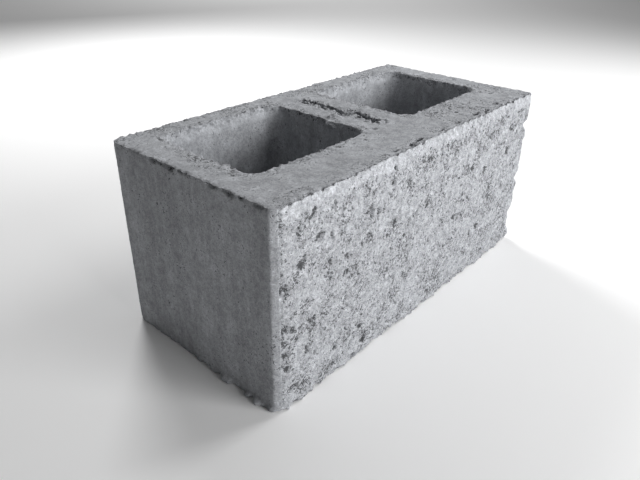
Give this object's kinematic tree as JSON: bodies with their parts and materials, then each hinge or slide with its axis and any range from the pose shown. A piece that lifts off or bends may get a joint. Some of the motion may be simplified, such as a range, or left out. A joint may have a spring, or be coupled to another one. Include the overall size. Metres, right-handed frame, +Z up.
{
  "type": "split-face concrete block",
  "caption": "Hollow concrete masonry unit with tapered upright cores, one long split face and a score slot along its middle web.",
  "frame": {"origin": "centre of the bottom bed face", "axes": "+X along the block's length, +Y towards the smooth moulded back (the split face looks along -Y), +Z up"},
  "size_m": [0.39, 0.192, 0.178],
  "materials": {
    "concrete": "raw grey concrete, moulded faces smooth and pitted, one long face split and rough"
  },
  "bodies": {
    "root": {"block": "concrete"}
  },
  "joints": []
}
